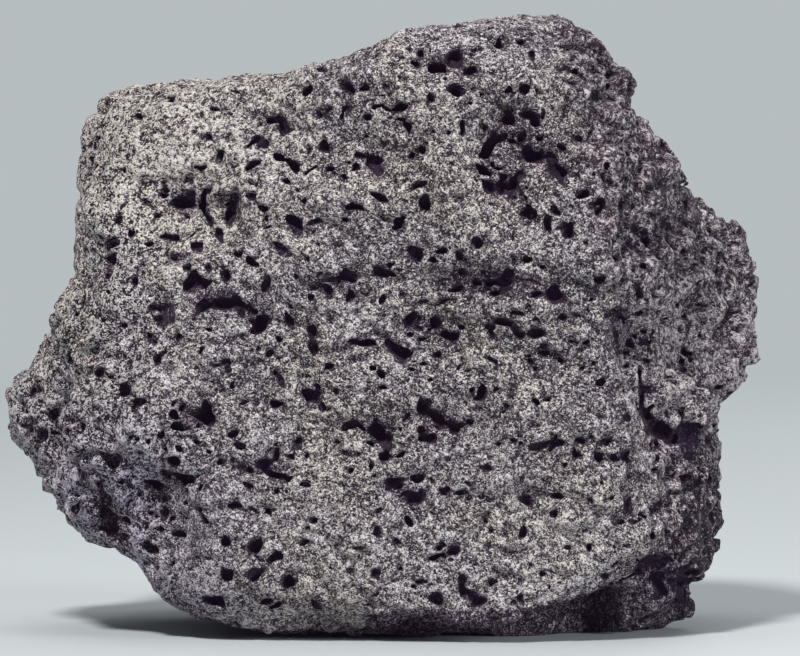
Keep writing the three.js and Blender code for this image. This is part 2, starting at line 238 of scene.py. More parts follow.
lowerRight = [
    (6.3, 57.5, 2.1, 1.1), (10.9, 53.8, 1.6, 1.4), (18.3, 51.9, 1.7, 1.4),
    (21.7, 51.6, 2.8, 3.8, 10), (9.2, 47.6, 3.6, 3.2), (12.8, 45.9, 4.8, 1.7, -20),
    (16.2, 43.2, 2.0, 2.6), (19.6, 44.7, 1.3, 1.4), (10.6, 41.6, 2.6, 1.7), (8.4, 41.9, 1.8, 1.6),
    (0.8, 38.9, 2.3, 2.1), (4.1, 38.9, 1.8, 1.3), (1.9, 32.1, 2.5, 2.4), (6.8, 32.2, 2.2, 1.5),
    (13.3, 30.8, 2.4, 1.2), (17.0, 30.8, 1.6, 1.2), (21.0, 35.5, 1.6, 0.9), (25.6, 40.2, 1.2, 0.8),
    (33.2, 49.2, 2.1, 1.9), (38.4, 46.3, 1.6, 0.8), (34.2, 41.0, 3.4, 1.4, 12),
    (37.2, 41.4, 3.4, 1.3), (32.2, 40.2, 1.8, 1.0, 30), (42.0, 41.3, 3.2, 0.9),
    (47.4, 40.8, 3.4, 0.7, -3), (35.4, 60.9, 3.2, 1.1), (23.4, 59.3, 3.2, 1.2, -25),
    (45.8, 36.5, 2.0, 2.4), (41.4, 37.2, 1.2, 1.9), (39.2, 36.1, 1.4, 1.2),
    (52.1, 38.3, 1.9, 2.8, -10), (53.4, 47.8, 3.6, 1.6, -5), (56.2, 48.2, 2.2, 0.9),
    (30.8, 27.9, 2.9, 2.2, -15), (36.8, 29.0, 3.2, 1.3), (36.4, 25.8, 1.4, 1.2),
    (53.4, 27.6, 3.2, 4.8, 5, 3.0), (53.7, 24.2, 1.6, 1.7), (51.4, 24.2, 1.8, 1.2),
    (57.5, 14.4, 10, 3.4, 12, 4.0), (64.5, 12.6, 9, 2.8, 0, 5.0), (53.5, 11.6, 6, 1.8, 25, 3.0),
    (58.6, 26.2, 2.6, 1.9, 0, 2.4), (60.6, 28.2, 1.0, 1.0), (10.6, 26.0, 1.4, 0.9),
    (5.6, 23.7, 2.6, 1.6, -60), (12.8, 24.6, 1.4, 0.8), (7.0, 26.3, 2.2, 0.9, -30),
    (15.8, 22.2, 2.0, 1.0), (16.1, 17.3, 2.6, 1.6, 35), (12.0, 14.8, 5.0, 0.9),
    (31.1, 20.6, 1.6, 2.0), (38.7, 18.1, 1.2, 1.2), (44.6, 17.6, 1.9, 1.6), (32.4, 14.3, 1.2, 1.0),
    (18.1, 9.0, 3.4, 2.4, -20), (20.6, 7.2, 2.6, 1.7, -30), (18.0, 11.0, 2.2, 1.3),
    (23.7, 10.5, 2.2, 1.2), (8.2, 10.3, 1.9, 0.9), (10.6, 10.2, 1.0, 0.8), (11.7, 6.4, 3.0, 1.8),
    (48.5, 12.1, 2.4, 1.1), (58.0, 53.2, 1.9, 1.5), (66.2, 57.1, 2.6, 1.7, -60),
    (73.3, 53.3, 2.0, 1.4), (67.6, 38.6, 2.8, 1.8), (63.5, 37.2, 2.0, 1.4),
    (68.7, 32.0, 3.0, 1.3, 30), (60.2, 20.9, 0.9, 1.4), (50.7, 14.3, 1.7, 1.2),
    (6.8, 28.8, 2.6, 2.2), (2.5, 19.8, 1.6, 0.8), (4.6, 13.0, 1.4, 1.0), (36.0, 50.5, 1.2, 0.9),
]
bowls = [  # open bowls with the grain of the outside, as holes with a depth
    (-35.2, 93.0, 6.4, 6.8, 0, 1.9), (7.6, 104.6, 5.0, 4.0, 0, 1.3), (-21.0, 109.5, 4.0, 4.0, 0, 0.9),
]
cracks = [  # x, z at both ends, width, depth
    (56.0, 57.0, 56.5, 52.9, 0.7, 1.6), (56.5, 52.9, 57.1, 47.9, 0.8, 3.0),
    (57.1, 47.9, 58.2, 43.7, 1.6, 4.5), (58.4, 44.6, 61.2, 43.4, 4.4, 5.5),
    (60.4, 43.0, 63.4, 42.2, 3.6, 4.6), (62.6, 42.3, 66.3, 41.6, 1.6, 3.2),
    (56.5, 10.9, 62.5, 12.0, 0.9, 1.8), (62.5, 12.0, 68.5, 12.6, 1.5, 2.6),
    (63.5, 10.6, 67.0, 10.4, 2.0, 3.0),
]
# How a hole is cut where it is seen.
hole = {
    "deepness": 0.85, "atLeast": 0.8,        # its half depth: a part of its mean width, and mm more
    "spare": 0.1,                            # mm that it is cut wider all round, for its worn rim
    "sunk": 0.3, "sunkGiven": 0.2,           # how far in its middle lies, in half depths
    "rims": (0.7, 1.5),                      # the least and the extra wear of a rim
    "steepFrom": 0.75,                       # where a face turns away, below this cosine,
    "steepTurn": 1.6, "steepWiden": 0.6,     # the hole turns into it and gets wider
    "bubbleAway": (0.3, 0.48),               # smaller bubbles ran into it: how far off,
    "bubbleSize": (0.4, 0.65),               # and how large, in parts of the hole
}
# The lip of the front, under which the stone is set back: x, height of the lip, and where the wall
# under it stands (y), in mm.
lip = (
    (-17, -1.0, -60), (-11, 1.6, -46), (-5, 3.8, -40), (-1, 5.2, -37), (6, 6.0, -34), (13, 5.8, -32),
    (17, 5.2, -32), (22, 4.8, -32), (29, 6.4, -31), (35, 7.3, -28), (42, 8.8, -21), (46, 10.6, -19),
    (52, 12.2, -27), (60, 12.8, -27), (66, 12.0, -19), (71, 12.6, -11), (80, 13, -4),
)


def volumeOf(node):
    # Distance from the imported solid's surface, in mm, on a box of voxels; the facets are rounded first.
    soft = node.copy()
    soft.data = node.data.copy()
    bpy.context.collection.objects.link(soft)
    weld = soft.modifiers.new("weld", "WELD")
    weld.merge_threshold = 1e-6
    rounding = soft.modifiers.new("rounding", "SUBSURF")
    rounding.levels = 2
    mesh = soft.evaluated_get(bpy.context.evaluated_depsgraph_get()).to_mesh()
    mesh.calc_loop_triangles()
    points = np.empty(len(mesh.vertices) * 3, np.float32)
    mesh.vertices.foreach_get("co", points)
    points = points.reshape(-1, 3) / millimetre
    triangles = np.empty(len(mesh.loop_triangles) * 3, np.int32)
    mesh.loop_triangles.foreach_get("vertices", triangles)
    triangles = triangles.reshape(-1, 3)
    bpy.data.objects.remove(soft)

    voxel, band = stone["voxel"], stone["band"]
    transform = vdb.createLinearTransform(voxelSize=voxel)
    grid = vdb.FloatGrid.createLevelSetFromPolygons(
        points, triangles=triangles.astype(np.uint32), transform=transform, halfWidth=band / voxel)
    first = np.floor((lowCorner - band) / voxel).astype(int)
    last = np.ceil((highCorner + band) / voxel).astype(int)
    distance = np.empty(last - first + 1, np.float32)
    grid.copyToArray(distance, ijk=tuple(int(i) for i in first))
    skin = BVHTree.FromPolygons(points.tolist(), triangles.tolist())
    return distance, first * voxel, skin, points, triangles


def splineNoise(shape, wavelengths):
    # Smooth random values for every voxel, about 1 high: a random lattice spread by cubic splines.
    spreads = []
    for size, wavelength in zip(shape, wavelengths):
        place = np.arange(size) * stone["voxel"] / wavelength + 1
        cell = np.floor(place).astype(int)
        t = place - cell
        spread = np.zeros((size, cell[-1] + 3), np.float32)
        rows = np.arange(size)
        spread[rows, cell - 1] = (1 - t) ** 3 / 6
        spread[rows, cell] = (3 * t ** 3 - 6 * t ** 2 + 4) / 6
        spread[rows, cell + 1] = (-3 * t ** 3 + 3 * t ** 2 + 3 * t + 1) / 6
        spread[rows, cell + 2] = t ** 3 / 6
        spreads.append(spread)
    x, y, z = spreads
    lattice = random.standard_normal((x.shape[1], y.shape[1], z.shape[1]), dtype=np.float32)
    values = (x @ lattice.reshape(x.shape[1], -1)).reshape(x.shape[0], y.shape[1], z.shape[1])
    return np.matmul(np.matmul(y, values), z.T) / 0.33


def softStep(value, start, end):
    t = np.clip((value - start) / (end - start), 0, 1)
    return t * t * (3 - 2 * t)


def softMax(a, b, width):
    blend = np.maximum(width - np.abs(a - b), 0) / width
    return np.maximum(a, b) + blend * blend * width / 4


class Carving:
    # The stone as a box of distances, with what it takes to cut holes into it.
    def __init__(self, node):
        self.distance, self.origin, self.skin, self.points, self.triangles = volumeOf(node)
        self.shape = self.distance.shape
        self.axes = [self.origin[i] + stone["voxel"] * np.arange(self.shape[i]) for i in range(3)]
        self.warp = self.unbroken = None
        # where painted shade goes, from the dents and from under the lip
        self.dented = np.zeros(self.shape, np.float32)

    def boxAround(self, centre, reach):
        low = np.floor((centre - reach - self.origin) / stone["voxel"]).astype(int)
        high = np.ceil((centre + reach - self.origin) / stone["voxel"]).astype(int) + 1
        low = np.clip(low, 0, self.shape)
        high = np.clip(high, 0, self.shape)
        return tuple(slice(a, b) for a, b in zip(low, high))

    def pointsIn(self, box, centre):
        x, y, z = (axis[part] - c for axis, part, c in zip(self.axes, box, centre))
        return np.stack(np.meshgrid(x, y, z, indexing="ij"), -1).astype(np.float32)

    def sample(self, values, places, step=1):
        # Values between the voxels, for an array of places in mm; a step of 2 means every other voxel.
        at = ((places - self.origin) / stone["voxel"] - (step - 1) / 2) / step
        at = np.clip(at, 0, np.array(values.shape) - 1.001)
        low = at.astype(int)
        t = at - low
        total = 0
        for corner in np.ndindex(2, 2, 2):
            weight = np.prod(np.where(corner, t, 1 - t), axis=1)
            i, j, k = (low + corner).T
            total = total + weight * values[i, j, k]
        return total

    def nearMean(self, values, reach, places):
        # The mean over a cube around each place, taken three times over so that it is nearly round.
        a, b, c = (np.array(values.shape) // 2 * 2)
        values = values[:a, :b, :c].reshape(a // 2, 2, b // 2, 2, c // 2, 2).mean((1, 3, 5))
        half = max(int(reach / stone["voxel"] / 3.4), 1)
        for axis in (0, 1, 2) * 2:
            padding = [(half + 1, half) if i == axis else (0, 0) for i in range(3)]
            summed = np.cumsum(np.pad(values, padding, mode="edge"), axis=axis, dtype=np.float64)
            size = values.shape[axis]
            upper = np.take(summed, range(2 * half + 1, 2 * half + 1 + size), axis=axis)
            lower = np.take(summed, range(size), axis=axis)
            values = (upper - lower) / (2 * half + 1)
        return self.sample(values, places, 2)

    def cutHole(self, centre, axes, halfSizes, bend=1.0, rim=1.0):
        # One gas hole: an ellipsoid, its wall bent by the warp.
        halfSizes = np.asarray(halfSizes, np.float32)
        box = self.boxAround(centre, halfSizes.max() + 1.6)
        if any(part.stop <= part.start for part in box):
            return
        places = self.pointsIn(box, centre) + bend * self.warp[box]
        local = places @ np.asarray(axes, np.float32).T / halfSizes
        wall = (np.sqrt((local ** 2).sum(-1)) - 1) * halfSizes.min()
        self.distance[box] = softMax(self.distance[box], -wall, stone["softRim"] * rim)

    def seenPoint(self, x, z):
        # Where the front of the stone is, for a point of the upright plane that the camera looks at.
        target = Vector((x, view["aim"][1], z))
        direction = (target - seenFrom).normalized()
        place, normal, _, _ = self.skin.ray_cast(seenFrom, direction)
        if place is None:
            return None
        place, normal, direction = np.array(place), np.array(normal), np.array(direction)
        if self.unbroken is not None:        # on to the roughened face, along the line of sight
            steps = np.arange(*stone["search"])
            inside = self.sample(self.unbroken, place + steps[:, None] * direction) < 0
            place = place + steps[inside.argmax()] * direction
        return place, normal, direction


def roughen(carving):
    x, y, z = np.meshgrid(*carving.axes, indexing="ij", sparse=True)
    rightFace = softStep(x + 0.2 * z, 58, 69) * softStep(-y, -30, 10)
    knobbly = 1 + 0.5 * softStep(-x, 40, 65) * softStep(-z, -80, -60)
    for layer, (wavelengths, height) in enumerate(roughness):
        noise = splineNoise(carving.shape, wavelengths)
        if layer in (2, 3):                  # rounded knobs with creases between them
            noise = 2.4 * np.exp(-np.abs(noise)) - 1.2
        amount = height * knobbly * (1 + (0.8 if layer in (2, 3) else 0.2) * rightFace)
        carving.distance += (amount * noise).astype(np.float32)


def bellOf(x, z, halfWidth, halfHeight, turn):
    # Exponent of a soft bump, lying turned in the upright plane.
    c, s = math.cos(math.radians(turn)), math.sin(math.radians(turn))
    return ((x * c + z * s) / halfWidth) ** 2 + ((z * c - x * s) / halfHeight) ** 2


def trimOutline(carving):
    x, z = np.meshgrid(carving.axes[0], carving.axes[2], indexing="ij")
    for cx, cz, halfWidth, halfHeight, turn, height in outline:
        push = height * np.exp(-bellOf(x - cx, z - cz, halfWidth, halfHeight, turn))
        carving.distance -= push[:, None, :].astype(np.float32)


def strewDents(carving):
    # Shallow dents and swellings on the sides, the back and the top.
    for _ in range(stone["dents"]):
        chosen = random.integers(len(carving.triangles))
        centre = carving.points[carving.triangles[chosen]].mean(0)
        size = random.uniform(*stone["dentSizes"]) * np.array((1, 1, random.uniform(0.4, 1)))
        height = random.normal(0, stone["dentHeight"]) - 0.3
        if centre[1] < -8 or centre[2] < 3:
            continue
        box = carving.boxAround(centre, 2.2 * size.max())
        bell = np.exp(-((carving.pointsIn(box, centre) / size) ** 2).sum(-1))
        carving.distance[box] -= (height * bell).astype(np.float32)
        # the dent is marked for painted shade
        carving.dented[box] += (0.6 * max(-height, 0) * bell).astype(np.float32)


def pressDents(carving):
    for cx, cz, halfWidth, halfHeight, turn, height in swellings:
        found = carving.seenPoint(cx, cz)
        if found is None:
            continue
        box = carving.boxAround(found[0], 2.2 * max(halfWidth, halfHeight, 6))
        x, y, z = np.moveaxis(carving.pointsIn(box, found[0]), -1, 0)
        bell = np.exp(-bellOf(x, z, halfWidth, halfHeight, turn) - (y / 9) ** 2)
        carving.distance[box] -= 1.3 * height * bell
        # the hollows (minus) are marked for painted shade
        carving.dented[box] += np.maximum(-height, 0) * bell


def cutUnderLip(carving):
    x, y, z = np.meshgrid(*carving.axes, indexing="ij", sparse=True)
    along, height, back = np.array(lip).T
    height = np.interp(x, along, height)
    below = np.clip((height - z) / np.maximum(height, 1), 0, 1)
    back = np.interp(x, along, back) + 5 * below ** 2
    cut = softMax(z - height, y - back, 1.5)
    carving.distance = softMax(carving.distance, -cut, 0.9).astype(np.float32)
    # Painted shade under the lip: the wall under it is marked for the finish to darken.
    carving.dented += (3.2 * softStep(-cut, -2.2, -0.6) * softStep(-x, -53, -44)).astype(np.float32)


def cutSeenHole(carving, cx, cz, width, height, turn=0, depth=None):
    found = carving.seenPoint(cx, cz)
    if found is None:
        return
    place, normal, into = found
    steep = max(0, 1 + normal @ into / hole["steepFrom"])
    into = into - hole["steepTurn"] * steep * normal
    into /= np.linalg.norm(into)
    across = np.cross(into, (0, 0, 1))
    across /= np.linalg.norm(across)
    up = np.cross(across, into)
    c, s = math.cos(math.radians(turn)), math.sin(math.radians(turn))
    long, short = across * c + up * s, up * c - across * s
    deep = depth or hole["deepness"] * math.sqrt(width * height) + hole["atLeast"]
    leastRim, moreRim = hole["rims"]
    rim = leastRim + moreRim * (abs(cx * 7.13 + cz * 3.71) % 1) ** 2    # nearly random, by its place
    halfWidth = width / 2 * (1 + hole["steepWiden"] * steep) + hole["spare"]
    halfSizes = np.array((halfWidth, deep, height / 2 + hole["spare"]))
    axes = (long, into, short)
    if depth:                                # one shape, as it is given
        carving.cutHole(place + into * deep * hole["sunkGiven"], axes, halfSizes, 0.6, rim)
        return
    carving.cutHole(place + into * deep * hole["sunk"], axes, halfSizes, 1.0, rim)
    for _ in range(1 + int(min(width, height) > 1.4) + int(max(width, height) > 2.6)):
        turned = random.uniform(0, 2 * math.pi)   # one to three bubbles, by the size of the hole
        offset = long * math.cos(turned) * width + short * math.sin(turned) * height
        offset = offset * random.uniform(*hole["bubbleAway"])
        carving.cutHole(place + offset + into * deep * hole["sunkGiven"], axes,
                        halfSizes * random.uniform(*hole["bubbleSize"]), 1.0, rim)


def cutSeenHoles(carving):
    for placed in upperLeft + upperRight + lowerLeft + lowerRight:
        cutSeenHole(carving, *placed)
    for cx, cz, halfWidth, halfHeight, turn, height in swellings:
        if height > 0:
            continue
        for _ in range(int(halfWidth * halfHeight * stone["crowding"])):    # they crowd in the dents
            x, z = random.normal(0, 0.55, 2) * (halfWidth, halfHeight)
            width = random.uniform(0.7, 2.0)
            height = random.uniform(0.7, 1.2)
            c, s = math.cos(math.radians(turn)), math.sin(math.radians(turn))
            cutSeenHole(carving, cx + x * c - z * s, cz + x * s + z * c, width, height,
                        turn + random.normal(0, 20), 0.9 + 0.5 * width)


def cutCracks(carving):
    for x0, z0, x1, z1, width, depth in cracks:
        steps = max(int(math.hypot(x1 - x0, z1 - z0) / 0.8), 2)
        for t in np.linspace(0, 1, steps):
            found = carving.seenPoint(x0 + (x1 - x0) * t, z0 + (z1 - z0) * t)
            if found is None:
                continue
            place, _, into = found
            along = np.array((x1 - x0, 0, z1 - z0)) / math.hypot(x1 - x0, z1 - z0)
            aside = np.cross(along, into)
            aside /= np.linalg.norm(aside)
            halfSizes = (1.1, depth, width / 2)
            carving.cutHole(place + into * depth * 0.3, (along, into, aside), halfSizes, 0.35)


def strewHoles(carving):
    # Gas holes all over; on the front only the small ones, because the large ones there are placed.
    corners = carving.points[carving.triangles]
    normals = np.cross(corners[:, 1] - corners[:, 0], corners[:, 2] - corners[:, 0])
    areas = np.linalg.norm(normals, axis=1)
    chosen = random.choice(len(areas), stone["smallHoles"], p=areas / areas.sum())
    mix = random.dirichlet((1, 1, 1), len(chosen))
    places = (corners[chosen] * mix[:, :, None]).sum(1)
    normals = normals[chosen] / areas[chosen, None]
    sizes = stone["smallest"] * (1 - random.uniform(0, 1, len(chosen))) ** (-1 / stone["fewLarge"])
    depths = carving.sample(carving.distance, places)
    for place, normal, size, depth in zip(places, normals, sizes, depths):
        front = normal[1] < -0.45
        rightFace = normal[1] < -0.2 and place[0] > 46
        stretch = random.uniform(*stone["stretch"])
        turn = random.normal(0, 0.45)
        keep = random.uniform(0, 1)
        largest = stone["largest"]
        if front:
            largest = stone["largestRight"] if rightFace else stone["largestFront"]
        if size > largest or place[2] < 0.5 or (rightFace and keep > stone["keptRight"]):
            continue
        across = np.cross((0, 0, 1), normal)
        length = np.linalg.norm(across)
        across = across / length if length > 0.2 else np.array((1.0, 0, 0))
        up = np.cross(normal, across)
        long = across * math.cos(turn) + up * math.sin(turn)
        short = up * math.cos(turn) - across * math.sin(turn)
        deep = size * random.uniform(0.5, 0.8)
        centre = place - normal * (depth + deep * 0.3)
        root = math.sqrt(stretch)
        carving.cutHole(centre, (long, normal, short), (size / 2 * root, deep, size / 2 / root))


def largestIsland(count, triangles):
    # Which vertices belong to the outer skin, and not to a bubble closed in the stone.
    edges = np.concatenate([triangles[:, :2], triangles[:, 1:]])
    label = np.arange(count)
    while True:
        a, b = label[edges[:, 0]], label[edges[:, 1]]
        if (a == b).all():
            break
        low = np.minimum(a, b)
        np.minimum.at(label, a, low)
        np.minimum.at(label, b, low)
        label = label[label]
    names, counts = np.unique(label, return_counts=True)
    return label == names[counts.argmax()]


def placesOf(mesh):
    places = np.empty(len(mesh.vertices) * 3, np.float32)
    mesh.vertices.foreach_get("co", places)
    return places.reshape(-1, 3) / millimetre


def meshOf(carving):
    grid = vdb.FloatGrid(stone["band"])
    grid.copyFromArray(carving.distance)
    points, triangles, quads = grid.convertToPolygons(isovalue=0.0, adaptivity=0.0)
    points = points * stone["voxel"] + carving.origin
    triangles = np.concatenate([triangles, quads[:, (0, 1, 2)], quads[:, (0, 2, 3)]]).astype(np.int64)
    kept = largestIsland(len(points), triangles)
    triangles = triangles[kept[triangles[:, 0]]]
    index = np.cumsum(kept) - 1
    mesh = bpy.data.meshes.new("moonRockStone")
    mesh.from_pydata((points[kept] * millimetre).tolist(), [], index[triangles].tolist())
    return mesh


def buildStone():
    carving = Carving(cadNode)
    print("stone: volume", carving.shape)
    cutUnderLip(carving)
    roughen(carving)
    trimOutline(carving)
    pressDents(carving)
    strewDents(carving)
    carving.warp = np.stack([sum(bend * splineNoise(carving.shape, (over,) * 3)
                                 for bend, over in stone["warps"]) for _ in range(3)], -1)
    carving.unbroken = carving.distance.copy()
    for bowl in bowls:
        cutSeenHole(carving, *bowl)
    carving.unbroken = carving.distance.copy()
    cutSeenHoles(carving)
    cutCracks(carving)
    strewHoles(carving)
    print("stone: holes cut")
    height = carving.axes[2][None, None, :]
    carving.distance = np.maximum(carving.distance, -height.astype(np.float32))
    mesh = meshOf(carving)
    print("stone: skinned,", len(mesh.polygons), "faces")
    rock = bpy.data.objects.new("moon_rock_stone", mesh)
    bpy.context.collection.objects.link(rock)
    thin = rock.modifiers.new("thin", "DECIMATE")
    thin.ratio = stone["faces"] / len(mesh.polygons)
    places = placesOf(mesh)
    thinnable = rock.vertex_groups.new(name="thinnable")
    thinnable.add(list(range(len(places))), 1.0, "REPLACE")
    thinnable.add(np.flatnonzero(places[:, 1] < -5).tolist(), 0.5, "REPLACE")
    thin.vertex_group = "thinnable"
    thin.vertex_group_factor = stone["frontSpared"]
    thinned = bpy.data.meshes.new_from_object(
        rock.evaluated_get(bpy.context.evaluated_depsgraph_get()))
    rock.modifiers.clear()
    rock.data = thinned
    thinned.name = "moonRockStone"
    thinned.shade_smooth()
    places = placesOf(thinned)
    inFront = (places[:, 1] < -5).mean().round(2)
    print("stone: thinned,", len(thinned.polygons), "faces,", inFront, "in front")
    solid = (carving.distance < 0).astype(np.float32)
    cut = ((carving.unbroken < 0) & (carving.distance > 0)).astype(np.float32)
    for name, values in (("pit", -carving.sample(carving.unbroken, places)),
                         ("hollow", carving.nearMean(solid, 2.4, places)),
                         ("holed", carving.nearMean(cut, 3.0, places)),
                         ("dented", carving.sample(carving.dented, places))):
        layer = thinned.attributes.new(name, "FLOAT", "POINT")
        layer.data.foreach_set("value", values.astype(np.float32))
        print("stone:", name, np.percentile(values, [5, 25, 50, 75, 95]).round(3))
    return rock


rock = buildStone()


class Socket:
    # An output of a shader node that Python's operators work on.
    def __init__(self, nodes, output):
        self.nodes, self.output = nodes, output

    def math(self, operation, a, b=0.0):
        return self.nodes.add("ShaderNodeMath", {"operation": operation}, {0: a, 1: b})

    def __add__(self, other):
        return self.math("ADD", self, other)

    def __radd__(self, other):
        return self.math("ADD", other, self)

    def __sub__(self, other):
        return self.math("SUBTRACT", self, other)

    def __rsub__(self, other):
        return self.math("SUBTRACT", other, self)

    def __mul__(self, other):
        return self.math("MULTIPLY", self, other)

    def larger(self, other):
        return self.math("MAXIMUM", self, other)


class Nodes:
    def __init__(self, name):
        self.material = bpy.data.materials.new(name)
        self.material.use_nodes = True
        self.tree = self.material.node_tree
        self.tree.nodes.clear()

    def node(self, kind, settings=None, sockets=None):
        node = self.tree.nodes.new(kind)
        for name, value in (settings or {}).items():
            if name == "stops":
                self.setStops(node.color_ramp, value)
            else:
                setattr(node, name, value)
        for name, value in (sockets or {}).items():
            if isinstance(value, Socket):
                self.tree.links.new(value.output, node.inputs[name])
            else:
                node.inputs[name].default_value = value
        return node

    def add(self, kind, settings=None, sockets=None, output=0):
        return Socket(self, self.node(kind, settings, sockets).outputs[output])

    def setStops(self, ramp, stops):
        while len(ramp.elements) < len(stops):
            ramp.elements.new(0.5)
        for element, (place, colour) in zip(ramp.elements, stops):
            element.position, element.color = place, (*colour, 1)

    def mixColour(self, factor, a, b, blend="MIX"):
        node = self.node("ShaderNodeMix", {"data_type": "RGBA", "blend_type": blend})
        for socket, value in ((0, factor), (6, a), (7, b)):
            if isinstance(value, Socket):
                self.tree.links.new(value.output, node.inputs[socket])
            else:
                node.inputs[socket].default_value = value if socket == 0 else (*value, 1)
        return Socket(self, node.outputs[2])

    def vector(self, operation, a, b):
        return self.add("ShaderNodeVectorMath", {"operation": operation}, {0: a, 1: b})

    def scaled(self, vector, factor):
        return self.add("ShaderNodeVectorMath", {"operation": "SCALE"}, {0: vector, "Scale": factor})

    def smooth(self, value, start, end, low=0.0, high=1.0):
        settings = {"interpolation_type": "SMOOTHSTEP"}
        return self.add("ShaderNodeMapRange", settings,
                        {"Value": value, 1: start, 2: end, 3: low, 4: high})


basalt = {
    "grainColours": (                        # from the darkest crystals to the palest, over the tone
        (0.05, (0.014, 0.009, 0.015)), (0.27, (0.066, 0.052, 0.062)), (0.50, (0.195, 0.174, 0.178)),
        (0.73, (0.390, 0.368, 0.345)), (0.96, (0.720, 0.700, 0.630))),
    "paintedGlow": (0.0040, 0.0022, 0.0056),        # painted glow: a faint emission all over the stone, so that no hole is quite black
    "inside": (0.060, 0.033, 0.070),         # the bottom of the holes and the pinholes: painted shade, over darker walls
    "grain": 0.28,                           # mm across a crystal
    "relief": 0.5,                           # mm, how high the grain stands
    "tone": 0.492,                           # of the plain front, as a place on the grain colours
    "crystals": (0.88, 0.42),                # how far the fine and the coarse crystals differ,
    "laths": 2.1, "clumps": 1.5, "clots": 0.8, "patches": 0.7,    # and the shapes they gather in
    "paler": {                               # painted light and shade by place: how much lighter each part is made; minus is darker
        "highLeft": 0.24, "lowLeft": 0.13, "lowMiddle": 0.09, "right": 0.10, "highRight": -0.16,
        "lowRight": -0.32, "flank": -0.20, "foot": -0.21, "besideRight": -0.05, "wornAndLitEdges": 0.10},
    "darker": {                              # and how far the painted shade of the holes, hollows and dents and the real stains darken it
        "inHole": 0.33, "stained": 0.17, "shadeNearHoles": 0.14, "hollowed": 0.20, "deepest": 0.20,
        "sunken": 0.16},
    "warm": (1.03, 0.99, 1.0), "cool": (0.99, 0.96, 1.05), "shadowed": (1.01, 0.895, 1.0),
    "shadowBlue": (0.94, 0.875, 1.13),           # painted shade tint, low on the left and on the foot
    "eachWarm": (1.02, 1.0, 0.97), "eachCool": (0.985, 0.995, 1.03),
    "shadeAndStainTint": (0.93, 0.78, 0.98),            # purple tint where the colour is darkened: the painted shade in holes and dents, and the stains
}


